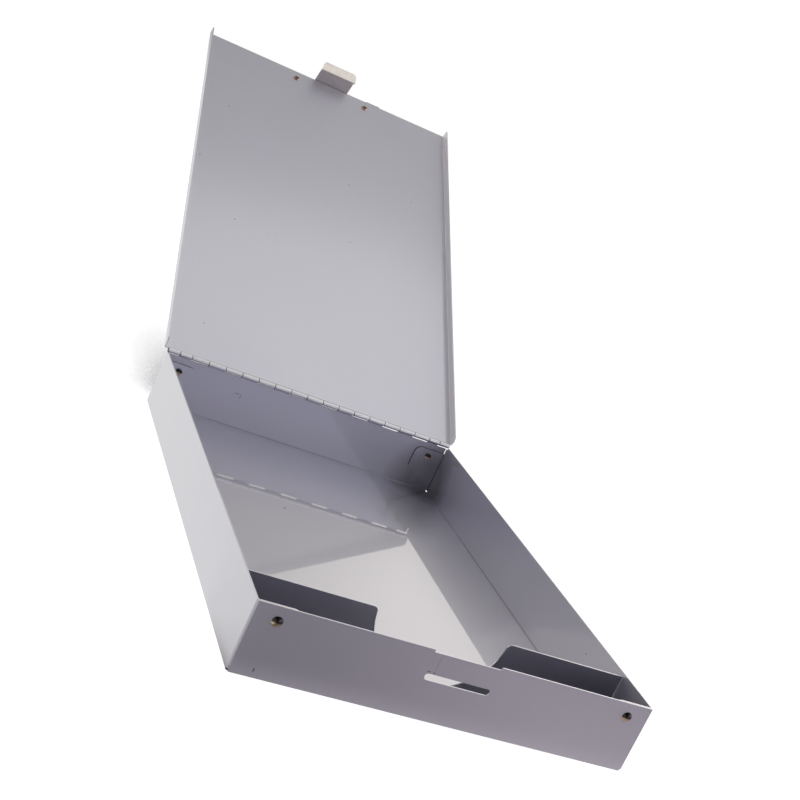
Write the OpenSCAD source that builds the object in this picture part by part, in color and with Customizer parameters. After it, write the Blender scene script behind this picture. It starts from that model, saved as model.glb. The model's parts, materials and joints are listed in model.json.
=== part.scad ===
// Storage clipboard box: a shallow tray folded from one aluminium sheet, a flanged lid on an
// integral piano hinge, a pen divider, a spring latch and a low clip on top of the lid.
// Frame: the origin is the centre of the tray's underside, +X right, +Y to the hinge, +Z up.
// Everything on the lid is drawn with the lid closed, and opened() swings it about the pin.

/* [Tray] */
// Outer width of the tray
tray_w = 228; // [190:1:320]
// Outer depth of the tray, from front to hinge
tray_d = 360; // [280:1:440]
// Height of the side and front walls
tray_h = 39.4; // [34:0.2:80]
// Thickness of the aluminium sheet
sheet_t = 0.9; // [0.7:0.1:1.1]
// Inside radius of the tray's bends
bend_r = 0.3; // [0.2:0.1:1.5]
// Reach of a corner flap, from the side wall's outer face
flap_w = 24.5; // [20:0.5:32]
// Radius of a flap's top corner
flap_corner_r = 5; // [2:0.5:8]
// Drop of the back flaps below the top of the walls
back_flap_drop = 6.1; // [4:0.1:10]
// Height at which a flap's slanting lower edge starts
flap_slant_h = 16.4; // [10:0.2:18]
// Inset of the front wall's ends from the sides
front_end_inset = 0.8; // [0.4:0.1:1.5]
// Inset of the back wall's ends from the sides
back_end_inset = 1.2; // [0.8:0.1:1.5]
// Slit between a side wall's back edge and the back wall, above the flap
back_slit = 0.4; // [0.2:0.1:1]

/* [Front wall] */
// Distance of the latch slot and the recess above it to the right of the wall's middle
slot_shift = 0.9; // [-2:0.1:2]
// Width of the latch slot
slot_w = 37.6; // [34:0.2:60]
// Height of the latch slot
slot_h = 3.7; // [3.4:0.1:5]
// Drop of the slot's centre below the top of the wall
slot_drop = 15.1; // [12:0.1:20]
// Width of the recess in the wall's top edge
recess_w = 39; // [34:0.5:70]
// Depth of the recess
recess_depth = 1.4; // [0.8:0.1:3]
// Radius of the recess's corners
recess_r = 0.7; // [0.2:0.1:0.7]

/* [Hinge] */
// Diameter of the hinge pin
pin_d = 1.5; // [1.2:0.1:2.4]
// Radial clearance of the pin in the knuckles
pin_clearance = 0.05; // [0.02:0.01:0.1]
// Number of knuckles, an odd number
knuckle_count = 19; // [11:2:27]
// Length of the outer two knuckles at each end, as a share of the others
end_knuckle_share = 0.7; // [0.5:0.05:1]
// Gap between two knuckles
knuckle_gap = 0.45; // [0.2:0.05:0.6]
// Height of the pin's axis above the walls
hinge_rise = 0.95; // [0.6:0.05:2]
// Depth below the barrels at which the notches in both sheets end
notch_gap = 0.9; // [0.5:0.05:1.2]
// Width of the seam where a knuckle's curl closes
curl_seam = 0.15; // [0.1:0.05:0.3]

/* [Lid] */
// Overhang of the lid past each side of the tray
lid_overhang = 2.7; // [2:0.1:4]
// Depth of the lid's side flanges below its inner face
lid_flange = 6.85; // [5:0.05:12]
// Inside radius of the lid's bends
lid_bend_r = 0.5; // [0.3:0.1:1.8]
// Setback of the lid's free edge behind the front wall's outer face
lid_setback = 0.1; // [0.1:0.1:1]
// Radius of a flange's corner at the hinge
flange_corner_r = 5; // [1:0.5:5]
// Angle that the lid stands open, from closed
lid_open = 146.6; // [0:0.1:180]

/* [Pen divider] */
// Distance of the divider's front face from the front wall's outer face
divider_y = 35; // [25:1:70]
// Drop of the divider's top edge below the walls
divider_drop = 1.9; // [1:0.1:5]
// Radius of the finger scoop
scoop_r = 39.3; // [25:0.1:60]
// Height of the scoop's centre above the walls
scoop_rise = 0.85; // [0:0.05:5]
// Height of the web that the scoop leaves above the floor
scoop_web = 2.4; // [2.2:0.1:6]
// Radius of the scoop's lips
scoop_lip_r = 3; // [1:0.5:6]
// Depth of the divider's foot
foot_d = 12; // [9:0.5:20]
// Gap between the divider's ends and the side walls
divider_gap = 0.45; // [0.3:0.05:1]
// Offsets of the foot rivets from the middle
foot_rivets_x = [60, 96];

/* [Rivets] */
// Radius of a corner rivet's head
head_r = 3; // [2.5:0.1:4]
// Height of a corner rivet's head
head_h = 1.7; // [1:0.1:2.5]
// Radius of a corner rivet's shank
shank_r = 1.6; // [1.2:0.1:2]
// Radius of a rivet's rolled tail
tail_r = 2.6; // [2.2:0.1:3.5]
// Height of a rivet's rolled tail
tail_h = 1.1; // [0.7:0.1:1.6]
// Radius of the hollow in a rivet's tail
tail_bore_r = 1.1; // [0.6:0.1:1.3]
// Radial clearance of a rivet in its hole
rivet_clearance = 0.05; // [0.02:0.01:0.1]
// Inset of the front rivets from the sides
front_rivet_inset = 13.3; // [10:0.1:16]
// Drop of the front rivets below the top of the walls
front_rivet_drop = 8; // [6:0.5:12]
// Inset of the back rivets from the sides
back_rivet_inset = 12.9; // [10:0.1:16]
// Drop of the back rivets below the top of the walls
back_rivet_drop = 12; // [11:0.1:16]
// Radius of a foot rivet's head
foot_head_r = 2.6; // [2:0.1:3]
// Height of a foot rivet's head
foot_head_h = 1.1; // [0.8:0.1:1.6]
// Radius of a foot rivet's shank
foot_shank_r = 1.3; // [1:0.1:1.6]

/* [Latch] */
// Width of the latch
latch_w = 32; // [20:0.5:32]
// Thickness of the latch's spring strip
latch_t = 0.6; // [0.4:0.05:0.7]
// Gap between the latch's leg and the front wall
latch_gap = 0.25; // [0.2:0.05:0.6]
// Depth to which the nose reaches past the front wall's outer face
nose_depth = 3.3; // [2.5:0.1:3.5]
// Inside radius of the nose
nose_r = 0.15; // [0.1:0.05:0.2]
// Slope of the nose's two arms
nose_slope = 19; // [10:1:19]
// Inside radius of the bend over the lid's edge
latch_bend_r = 1.2; // [0.8:0.1:1.4]
// Inside radius of the bend above the nose
nose_bend_r = 0.4; // [0.3:0.1:0.8]
// Reach of the finger tab in front of the wall
tab_reach = 5.4; // [4:0.1:10]
// Radius of the tab's corners
tab_corner_r = 4; // [2:0.5:5]
// Distance of the flexing line from the lid's free edge
flex_inset = 3; // [2.5:0.1:4]
// Gap along the flexing line
flex_gap = 0.05; // [0.03:0.01:0.1]
// Width of the latch's riveted bar
bar_w = 84; // [78:1:96]
// Depth of the latch's riveted bar
bar_d = 10; // [8:0.5:12]

/* [Clip] */
// Width of the clip
clip_w = 101.6; // [96:0.1:140]
// Thickness of the clip's steel
clip_t = 0.8; // [0.6:0.05:1]
// Inside radius of the clip's bends
clip_bend_r = 0.6; // [0.4:0.1:1]
// Distance between the clip's two rivets
clip_rivet_span = 67.5; // [60:0.5:72]
// Distance of the clip's rivets from the lid's free edge
clip_rivet_inset = 9.3; // [9:0.1:11]
// Inset of the base's front edge from the lid's free edge
base_inset = 1; // [0.9:0.1:2]
// Depth of the clip's base
base_d = 26; // [24:0.5:34]
// Width of the base's two end feet
base_foot_w = 14; // [8:0.5:20]
// Reach of the left and right feet past the lid's free edge
base_foot_reach = [-0.2, 2.2];
// Distance of the clip's pin from the lid's free edge
pivot_inset = 20; // [18:0.5:24]
// Height of the clip's pin above the base
pivot_h = 4.2; // [4:0.1:6]
// Diameter of the clip's pin
clip_pin_d = 3; // [2:0.1:3.4]
// Radial clearance of the clip's pin
clip_pin_clearance = 0.05; // [0.03:0.01:0.1]
// Radius of the base's ears
ear_r = 3.2; // [2.6:0.1:3.8]
// Gap between the base's ears and the lever's cheeks
ear_gap = 0.4; // [0.3:0.05:1]
// Height of the lever's underside above the pin's axis
lever_rise = 3.3; // [3:0.1:5]
// Distance from the pin to the bend where the jaw turns down
jaw_flat = 3; // [2:0.5:6]
// Slope of the jaw
jaw_slope = 24; // [18:1:32]
// Gap between the closed jaw and the lid
jaw_gap = 0.15; // [0.1:0.05:0.5]
// Slope of the jaw's upturned lip
lip_slope = 50; // [30:5:70]
// Slope of the thumb tab
thumb_slope = 24; // [15:1:32]
// Length of the thumb tab's slope
thumb_run = 10; // [6:0.5:16]

/* [Clip spring] */
// Diameter of the spring's wire
wire_d = 1.1; // [0.8:0.1:1.2]
// Mean radius of the spring's coil
coil_r = 2.3; // [2.2:0.05:2.5]
// Full turns in the coil
coil_turns = 5; // [3:1:9]
// Clearance between the coil's turns
coil_gap = 0.2; // [0.1:0.05:0.5]
// Length of the spring's legs
spring_leg = 11; // [8:0.5:13]

/* [Hidden] */
$fn = 48;

// Clearances between the folds of the sheet
fold_gap = 0.1;
lid_rest_gap = 0.1;
relief_gap = 0.3;
// Extra length of a cutting tool past the faces that it cuts
past = 1;
// Largest turn of one facet of a folded strip's bends
bend_facet = 9;
// How far a lip's circle crosses into the scoop's, so that the two arcs meet at a clear point
lip_crossing = 0.01;

side_x = tray_w / 2;
front_y = -tray_d / 2;
back_y = tray_d / 2;

// The tray's bends and corner reliefs
tray_r = bend_r + sheet_t;
relief = tray_r + relief_gap;
flap_y = sheet_t + fold_gap;
side_start = flap_y + tray_r;
back_flap_top = tray_h - back_flap_drop;
slot_z = tray_h - slot_drop;

// The hinge: both sheets curl inwards, so that their outer faces run on into the barrels
bore_r = pin_d / 2 + pin_clearance;
barrel_r = bore_r + sheet_t;
notch_r = barrel_r + notch_gap;
axis_y = back_y - barrel_r;
axis_z = tray_h + hinge_rise;
// Directions, seen from the right, in which the tray's and the lid's curls close
tray_seam = 285;
lid_seam = 165;
knuckle_unit = tray_w / (knuckle_count - 4 + 4 * end_knuckle_share);

// The lid's faces when it is level
lid_w = tray_w + 2 * lid_overhang;
lid_r = lid_bend_r + sheet_t;
lid_in_z = axis_z + bore_r;
lid_out_z = axis_z + barrel_r;
flange_z = lid_in_z - lid_flange;
free_y = front_y + lid_setback;
hinge_end_y = axis_y - notch_r;

// The divider
divider_front = front_y + divider_y;
divider_top = tray_h - divider_drop;
divider_half = side_x - sheet_t - divider_gap;
divider_foot_half = side_x - relief;
foot_rivet_y = divider_front - foot_d / 2;

// The stack on the lid's outer face: base, latch bar, lever
base_top = lid_out_z + clip_t;
bar_top = base_top + latch_t;
clip_rivet_y = free_y + clip_rivet_inset;
pivot_y = free_y + pivot_inset;
pivot_z = base_top + pivot_h;
lever_z = pivot_z + lever_rise;
clip_half = clip_w / 2;
clip_r = clip_bend_r + clip_t;
ear_half = clip_half - clip_t - ear_gap;
clip_bore_r = clip_pin_d / 2 + clip_pin_clearance;

// The lever's bends, flats and corners
jaw_top_r = 4;
lip_r = 1.4;
lip_run = 2;
thumb_r = 5;
thumb_flat = 3;
thumb_roll = 70;
roll_r = 1;
roll_run = 1.2;
thumb_corner_r = 14;
jaw_corner_r = 6;
cheek_share = 0.7;
jaw_drop = lever_z - lid_out_z - jaw_gap;
jaw_run = (jaw_drop - (jaw_top_r + lip_r + clip_t) * (1 - cos(jaw_slope))) / sin(jaw_slope);
jaw_end = pivot_y + jaw_flat + (jaw_top_r + lip_r + clip_t) * sin(jaw_slope)
    + jaw_run * cos(jaw_slope) + (lip_r + clip_t) * sin(lip_slope) + lip_run * cos(lip_slope);
thumb_end = pivot_y - jaw_flat - (2 * thumb_r + clip_t) * sin(thumb_slope)
    - thumb_run * cos(thumb_slope) - thumb_flat - (roll_r + clip_t) * sin(thumb_roll)
    - roll_run * cos(thumb_roll);

// The latch, measured outwards from its flexing line
flex_y = free_y + flex_inset;
flex_z = base_top + latch_t / 2;
// The closed lid leans on the front wall, so its free edge ends lower than drawn by lid_drop
lid_drop = lid_in_z - tray_h - lid_rest_gap;
nose_z = slot_z + lid_drop;
leg_in = flex_y - (front_y - latch_gap);
nose_out_r = nose_r + latch_t;
nose_x = flex_y - (front_y + nose_depth - nose_out_r);
nose_bend_x = leg_in - nose_bend_r;
nose_bend_z = nose_z + (nose_bend_r + nose_out_r
    + sin(nose_slope) * (nose_bend_x - nose_x)) / cos(nose_slope);
leg_run = base_top - latch_bend_r - nose_bend_z;
nose_arm = cos(nose_slope) * (nose_bend_x - nose_x)
    + sin(nose_slope) * (nose_bend_z - nose_z);
tab_run = (flex_y - (front_y - tab_reach) - nose_x) / cos(nose_slope);

// Where knuckle i starts, from the left
function knuckle_share(i) = i < 2 || i >= knuckle_count - 2 ? end_knuckle_share : 1;
function knuckle_x(i) = i == 0 ? -side_x : knuckle_x(i - 1) + knuckle_unit * knuckle_share(i - 1);

// Swings what is drawn on the closed lid to where the lid stands
module opened() {
    translate([0, axis_y, axis_z]) rotate([-lid_open, 0, 0]) translate([0, -axis_y, -axis_z]) children();
}

// Extrudes a section in the (y, z) plane along X, centred
module along_x(length) {
    rotate([90, 0, 90]) linear_extrude(height = length, center = true) children();
}

// Extrudes a section in the (x, z) plane along Y, from y0 to y1
module along_y(y0, y1) {
    translate([0, y1, 0]) rotate([90, 0, 0]) linear_extrude(height = y1 - y0) children();
}

module both_sides() {
    children();
    mirror([1, 0, 0]) children();
}

// A quarter of a bend of inside radius r, in the quadrant below and left of its centre
module quarter_bend(r, t) {
    intersection() {
        difference() {
            circle(r + t);
            circle(r);
        }
        translate([-r - t, -r - t]) square(r + t);
    }
}

// The scrap outside a rounded corner: the corner is at the origin, and the shape lies below and left
module corner_scrap(r) {
    difference() {
        translate([-r, -r]) square(r + past);
        translate([-r, -r]) circle(r);
    }
}

// A plate outline from x0 to x1 and y0 to y1, its corners rounded by r0 at y0 and r1 at y1
module plate(x0, x1, y0, y1, r0, r1) {
    difference() {
        translate([x0, y0]) square([x1 - x0, y1 - y0]);
        translate([x1, y1]) corner_scrap(r1);
        translate([x0, y1]) mirror([1, 0]) corner_scrap(r1);
        translate([x1, y0]) mirror([0, 1]) corner_scrap(r0);
        translate([x0, y0]) rotate(180) corner_scrap(r0);
    }
}

// Points along one face of a strip that follows steps of [run, turn, inside radius], along +X at
// first, where a positive turn is to the left: side 0 is the right-hand face, side 1 the left one
function strip_face(steps, t, side, i = 0, at = [0, 0], heading = 0) =
    i == len(steps) ? [] : let (
        run = steps[i][0],
        turn = steps[i][1],
        hand = sign(turn),
        inside_r = steps[i][2],
        bend_start = at + run * [cos(heading), sin(heading)],
        reach = hand > 0 ? t + inside_r : hand < 0 ? -inside_r : 0,
        centre = bend_start + reach * [-sin(heading), cos(heading)],
        facets = ceil(abs(turn) / bend_facet),
        end_heading = heading + turn
    ) concat(
        [at + side * t * [-sin(heading), cos(heading)],
            bend_start + side * t * [-sin(heading), cos(heading)]],
        [for (k = [1 : facets - 1]) let (h = heading + turn * k / facets)
            centre + (side * t - reach) * [-sin(h), cos(h)]],
        strip_face(steps, t, side, i + 1,
            centre - reach * [-sin(end_heading), cos(end_heading)], end_heading)
    );

// The section of such a strip, of thickness t
module folded_strip(steps, t) {
    left = strip_face(steps, t, 1);
    polygon(concat(strip_face(steps, t, 0), [for (i = [len(left) - 1 : -1 : 0]) left[i]]));
}

// A knuckle's section about the pin: a curl of sheet and the neck that leads to it
module knuckle_section(seam_angle) {
    difference() {
        union() {
            circle(barrel_r);
            children();
        }
        circle(bore_r);
        rotate(seam_angle) translate([0, -curl_seam / 2]) square([barrel_r + past, curl_seam]);
    }
}

// Places a knuckle section at every second knuckle, from knuckle number first
module knuckles(first) {
    for (i = [first : 2 : knuckle_count - 1]) {
        x0 = knuckle_x(i) + knuckle_gap / 2;
        x1 = knuckle_x(i + 1) - knuckle_gap / 2;
        translate([(x0 + x1) / 2, axis_y, axis_z]) along_x(x1 - x0) children();
    }
}

// Half of the tray's section across: half the floor, the bend and a side wall
module side_section() {
    translate([0, 0]) square([side_x - tray_r, sheet_t]);
    translate([side_x - tray_r, tray_r]) mirror([1, 0]) quarter_bend(bend_r, sheet_t);
    translate([side_x - sheet_t, tray_r]) square([sheet_t, tray_h - tray_r]);
}

// The tray's section from front to back
module end_section() {
    translate([front_y + tray_r, 0]) square([tray_d - 2 * tray_r, sheet_t]);
    translate([front_y + tray_r, tray_r]) quarter_bend(bend_r, sheet_t);
    translate([back_y - tray_r, tray_r]) mirror([1, 0]) quarter_bend(bend_r, sheet_t);
    translate([front_y, tray_r]) square([sheet_t, tray_h - tray_r]);
    translate([back_y - sheet_t, tray_r]) square([sheet_t, axis_z - notch_r - tray_r]);
}

// A corner flap's outline seen from the front, from the side wall's outer face at x = 0
module flap_outline(top) {
    difference() {
        translate([tray_r, relief]) square([flap_w - tray_r, top - relief]);
        translate([flap_w, top]) corner_scrap(flap_corner_r);
        polygon([[flap_w + past, flap_slant_h], [flap_w, flap_slant_h],
            [tray_r, relief], [flap_w + past, relief - past]]);
    }
}

// The right-hand corner fold: the upright bend and its flap, with its outer face at y = 0
module corner_fold(top) {
    translate([side_x - tray_r, tray_r, relief]) linear_extrude(height = top - relief)
        mirror([1, 0]) quarter_bend(bend_r, sheet_t);
    translate([side_x, 0, 0]) mirror([1, 0, 0]) along_y(0, sheet_t) flap_outline(top);
}

// The latch slot, the recess above it and the holes for the corner rivets
module tray_cuts() {
    along_y(front_y - past, front_y + sheet_t + past) {
        translate([slot_shift, slot_z]) {
            square([slot_w - slot_h, slot_h], center = true);
            for (side = [-1, 1]) translate([side * (slot_w - slot_h) / 2, 0]) circle(slot_h / 2);
        }
        translate([slot_shift, tray_h - recess_depth])
            plate(-recess_w / 2, recess_w / 2, 0, recess_depth + past, recess_r, recess_r);
    }
    for (side = [-1, 1]) {
        translate([side * (side_x - front_rivet_inset), front_y, tray_h - front_rivet_drop])
            rotate([90, 0, 0]) cylinder(h = 4 * flap_y, r = shank_r + rivet_clearance, center = true);
        translate([side * (side_x - back_rivet_inset), back_y, tray_h - back_rivet_drop])
            rotate([90, 0, 0]) cylinder(h = 4 * flap_y, r = shank_r + rivet_clearance, center = true);
        for (x = foot_rivets_x)
            translate([side * x, foot_rivet_y, 0])
                cylinder(h = 4 * sheet_t, r = foot_shank_r + rivet_clearance, center = true);
    }
}

// The tray: one sheet folded up on four sides, with its back edge curled into knuckles
module tray_pan() {
    color("lightsteelblue") {
        difference() {
            union() {
                both_sides() along_y(front_y + side_start, back_y - side_start) side_section();
                along_x(tray_w - 2 * relief) end_section();
                along_x(tray_w - 2 * front_end_inset)
                    translate([front_y, relief]) square([sheet_t, tray_h - relief]);
                along_x(tray_w - 2 * back_end_inset)
                    translate([back_y - sheet_t, relief])
                        square([sheet_t, axis_z - notch_r - relief]);
                both_sides() {
                    translate([0, front_y + flap_y, 0]) corner_fold(tray_h);
                    translate([0, back_y - flap_y, 0]) mirror([0, 1, 0]) corner_fold(back_flap_top);
                    along_y(back_y - side_start, back_y - sheet_t - back_slit)
                        translate([side_x - sheet_t, back_flap_top])
                            square([sheet_t, tray_h - back_flap_top]);
                }
            }
            tray_cuts();
            both_sides() translate([side_x, axis_y, axis_z])
                along_x(2 * (sheet_t + fold_gap)) circle(notch_r);
        }
        knuckles(1) knuckle_section(tray_seam)
            translate([bore_r, -notch_r]) square([sheet_t, notch_r]);
    }
}

// The lid: a flat sheet with two side flanges, its hinge edge curled into knuckles
module lid_panel() {
    color("lightsteelblue") opened() {
        difference() {
            both_sides() along_y(free_y, hinge_end_y) {
                translate([0, lid_in_z]) square([lid_w / 2 - lid_r, sheet_t]);
                translate([lid_w / 2 - lid_r, lid_out_z - lid_r])
                    rotate(180) quarter_bend(lid_bend_r, sheet_t);
                translate([lid_w / 2 - sheet_t, flange_z])
                    square([sheet_t, lid_out_z - lid_r - flange_z]);
            }
            along_x(lid_w + past) translate([hinge_end_y, flange_z])
                mirror([0, 1]) corner_scrap(flange_corner_r);
            for (side = [-1, 1])
                translate([side * clip_rivet_span / 2, clip_rivet_y, lid_in_z])
                    cylinder(h = 4 * sheet_t, r = shank_r + rivet_clearance, center = true);
        }
        knuckles(0) knuckle_section(lid_seam)
            translate([-notch_r, bore_r]) square([notch_r, sheet_t]);
    }
}

// The hinge pin: one wire through all the knuckles, with chamfered ends
module hinge_pin() {
    chamfer = pin_d / 4;
    length = tray_w - 2 * knuckle_gap;
    color("gainsboro") translate([0, axis_y, axis_z]) rotate([0, 90, 0]) {
        cylinder(h = length - 2 * chamfer, d = pin_d, center = true);
        for (end = [0, 1]) mirror([0, 0, end]) translate([0, 0, length / 2 - chamfer])
            cylinder(h = chamfer, d1 = pin_d, d2 = pin_d - 2 * chamfer);
    }
}

// The scoop that is cut down into the divider, with round lips at its top
module scoop() {
    centre_z = tray_h + scoop_rise;
    lip_z = divider_top - scoop_lip_r;
    centres_apart = scoop_r + scoop_lip_r - lip_crossing;
    lip_x = sqrt(pow(centres_apart, 2) - pow(centre_z - lip_z, 2));
    touch = scoop_r / centres_apart;
    difference() {
        union() {
            translate([0, centre_z]) circle(scoop_r, $fn = 96);
            for (side = [0, 1]) mirror([side, 0]) difference() {
                polygon([[lip_x * touch, centre_z + (lip_z - centre_z) * touch], [lip_x, lip_z],
                    [lip_x, divider_top + past], [lip_x * touch - scoop_lip_r, divider_top + past]]);
                translate([lip_x, lip_z]) circle(scoop_lip_r);
            }
        }
        translate([-scoop_r, -scoop_r]) square([2 * scoop_r, scoop_r + sheet_t + scoop_web]);
    }
}

// The pen divider: an upright plate with a finger scoop, on a foot that is riveted to the floor
module pen_divider() {
    bend_y = divider_front + sheet_t - tray_r;
    color("slategray") difference() {
        union() {
            along_x(2 * divider_foot_half) {
                translate([divider_front - foot_d, sheet_t])
                    square([bend_y - divider_front + foot_d, sheet_t]);
                translate([bend_y, sheet_t + tray_r]) mirror([1, 0]) quarter_bend(bend_r, sheet_t);
            }
            along_y(divider_front, divider_front + sheet_t)
                translate([-divider_half, sheet_t + tray_r])
                    square([2 * divider_half, divider_top - sheet_t - tray_r]);
        }
        along_y(divider_front - past, divider_front + sheet_t + past) scoop();
        for (side = [-1, 1], x = foot_rivets_x)
            translate([side * x, foot_rivet_y, sheet_t])
                cylinder(h = 4 * sheet_t, r = foot_shank_r + rivet_clearance, center = true);
    }
}

// A domed rivet head of radius r and height h, from z = 0 up
module rivet_head(r, h) {
    dome_r = (r * r + h * h) / (2 * h);
    rotate_extrude() intersection() {
        translate([0, h - dome_r]) circle(dome_r, $fn = 96);
        square([r, h]);
    }
}

// A rivet along Z that clamps a stack of plates from z = 0 down: head on top, hollow tail below
module rivet(stack) {
    color("darkgoldenrod") difference() {
        union() {
            rivet_head(head_r, head_h);
            translate([0, 0, -stack - tail_h / 2]) cylinder(h = stack + tail_h / 2, r = shank_r);
            translate([0, 0, -stack - tail_h / 2]) cylinder(h = tail_h / 2, r = tail_r);
            translate([0, 0, -stack - tail_h])
                cylinder(h = tail_h / 2, r1 = tail_r - tail_h / 2, r2 = tail_r);
        }
        translate([0, 0, -stack - tail_h - past]) cylinder(h = tail_h + past, r = tail_bore_r);
    }
}

module front_rivet(side) {
    translate([side * (side_x - front_rivet_inset), front_y, tray_h - front_rivet_drop])
        rotate([90, 0, 0]) rivet(flap_y + sheet_t);
}

module back_rivet(side) {
    translate([side * (side_x - back_rivet_inset), back_y, tray_h - back_rivet_drop])
        rotate([-90, 0, 0]) rivet(flap_y + sheet_t);
}

// A rivet through the divider's foot, set flush with the tray's underside
module foot_rivet(x) {
    color("darkgoldenrod") translate([x, foot_rivet_y, 0]) {
        cylinder(h = 2 * sheet_t, r = foot_shank_r);
        translate([0, 0, 2 * sheet_t]) rivet_head(foot_head_r, foot_head_h);
    }
}

module clip_rivet(side) {
    opened() translate([side * clip_rivet_span / 2, clip_rivet_y, bar_top])
        rivet(bar_top - lid_in_z);
}

// Holes for the clip's rivets through a plate that stands at height z
module clip_rivet_holes(z) {
    for (side = [-1, 1])
        translate([side * clip_rivet_span / 2, clip_rivet_y, z])
            cylinder(h = 4 * clip_t, r = shank_r + rivet_clearance, center = true);
}

// The fixed half of the latch's spring strip: a bar on the clip's base and a short tongue
module latch_plate() {
    color("silver") opened() difference() {
        translate([0, 0, base_top]) linear_extrude(height = latch_t) {
            plate(-bar_w / 2, bar_w / 2, clip_rivet_y - bar_d / 2, clip_rivet_y + bar_d / 2, 2, 2);
            translate([-latch_w / 2, flex_y + latch_t / 2 + flex_gap])
                square([latch_w, clip_rivet_y - flex_y - latch_t / 2 - flex_gap]);
        }
        clip_rivet_holes(base_top);
    }
}

// The springing half of the latch: over the lid's edge, down, in to the nose and out to the tab
module latch_tab() {
    steps = [
        [leg_in - latch_bend_r, -90, latch_bend_r],
        [leg_run, nose_slope - 90, nose_bend_r],
        [nose_arm, 180 - 2 * nose_slope, nose_r],
        [tab_run, 0, 0]
    ];
    tab_y = front_y - tab_reach;
    color("silver") opened() intersection() {
        translate([0, flex_y, flex_z]) along_x(latch_w) mirror([1, 0]) {
            circle(latch_t / 2);
            translate([0, -latch_t / 2]) folded_strip(steps, latch_t);
        }
        translate([0, 0, nose_z - tray_h / 2]) linear_extrude(height = 2 * tray_h)
            plate(-latch_w / 2, latch_w / 2, tab_y, flex_y + tray_h, tab_corner_r, 1);
    }
}

// The clip's base: a plate with two end feet and two ears that are folded up to hold the pin
module clip_base() {
    base_y = free_y + base_inset;
    flat_half = ear_half - clip_r;
    color("silver") opened() difference() {
        union() {
            translate([0, 0, lid_out_z]) linear_extrude(height = clip_t) {
                plate(-flat_half, flat_half, base_y, base_y + base_d, 1.5, 3);
                for (side = [0, 1]) {
                    foot_y = free_y - base_foot_reach[side];
                    mirror([1 - side, 0]) plate(ear_half - base_foot_w, ear_half,
                        foot_y, pivot_y - ear_r - 1, 1, 1);
                }
            }
            both_sides() {
                along_y(pivot_y - ear_r, pivot_y + ear_r) {
                    translate([0, lid_out_z]) square([flat_half, clip_t]);
                    translate([flat_half, lid_out_z + clip_r]) mirror([1, 0])
                        quarter_bend(clip_bend_r, clip_t);
                    translate([ear_half - clip_t, lid_out_z + clip_r])
                        square([clip_t, pivot_z - lid_out_z - clip_r]);
                }
                translate([ear_half - clip_t / 2, pivot_y, pivot_z]) along_x(clip_t) circle(ear_r);
            }
        }
        clip_rivet_holes(lid_out_z);
        translate([0, pivot_y, pivot_z]) along_x(clip_w) circle(clip_bore_r);
    }
}

// The clip's lever: jaw, top and thumb tab in one pressing, with two cheeks on the pin
module clip_lever() {
    jaw = [
        [jaw_flat, -jaw_slope, jaw_top_r],
        [jaw_run, jaw_slope + lip_slope, lip_r],
        [lip_run, 0, 0]
    ];
    thumb = [
        [jaw_flat, thumb_slope, thumb_r],
        [thumb_run, -thumb_slope, thumb_r],
        [thumb_flat, -thumb_roll, roll_r],
        [roll_run, 0, 0]
    ];
    middle_r = jaw_top_r + clip_t / 2;
    cheek_y = pivot_y + jaw_flat + middle_r * sin(jaw_slope);
    cheek_z = lever_z - jaw_top_r + middle_r * cos(jaw_slope);
    cheek_tip = cheek_share * jaw_run;
    color("silver") opened() difference() {
        union() {
            intersection() {
                translate([0, pivot_y, lever_z]) {
                    along_x(clip_w) folded_strip(jaw, clip_t);
                    along_x(clip_w) mirror([1, 0]) folded_strip(thumb, clip_t);
                }
                translate([0, 0, lid_out_z]) linear_extrude(height = tray_h)
                    plate(-clip_half, clip_half, thumb_end - past, jaw_end + past,
                        thumb_corner_r, jaw_corner_r);
            }
            for (side = [-1, 1])
                translate([side * (clip_half - clip_t / 2), 0, 0]) along_x(clip_t) {
                    translate([pivot_y, pivot_z]) circle(ear_r);
                    polygon([[pivot_y - ear_r, pivot_z], [pivot_y - ear_r, lever_z + clip_t / 2],
                        [pivot_y + jaw_flat, lever_z + clip_t / 2], [cheek_y, cheek_z],
                        [cheek_y + cheek_tip * cos(jaw_slope), cheek_z - cheek_tip * sin(jaw_slope)],
                        [pivot_y, pivot_z - ear_r]]);
                }
        }
        translate([0, pivot_y, pivot_z]) along_x(clip_w + past) circle(clip_bore_r);
    }
}

// The clip's pin, with a flat head at each end
module clip_pin() {
    head_t = 0.8;
    color("silver") opened() translate([0, pivot_y, pivot_z]) rotate([0, 90, 0]) {
        cylinder(h = clip_w + 4 * clip_pin_clearance, d = clip_pin_d, center = true);
        for (end = [0, 1]) mirror([0, 0, end])
            translate([0, 0, clip_half + 2 * clip_pin_clearance])
                cylinder(h = head_t, d1 = clip_pin_d + 2 * head_t, d2 = clip_pin_d + head_t);
    }
}

// The clip's torsion spring: points along its wire, leg, coil and leg
coil_pitch = wire_d + coil_gap;
coil_steps = 14;
coil_length = coil_turns * coil_pitch;
lower_leg_dip = pivot_h - coil_r - latch_t - wire_d / 2 - 0.3;
function coil_point(turn) = [
    coil_pitch * turn - coil_length / 2,
    coil_r * sin(360 * turn),
    -coil_r * cos(360 * turn)
];
function spring_path() = concat(
    [[-coil_length / 2, -spring_leg, -coil_r - lower_leg_dip]],
    [for (i = [0 : coil_turns * coil_steps + coil_steps / 2]) coil_point(i / coil_steps)],
    [[coil_length / 2 + coil_pitch / 2, -spring_leg * 0.7, coil_r + 0.4]]
);

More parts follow.
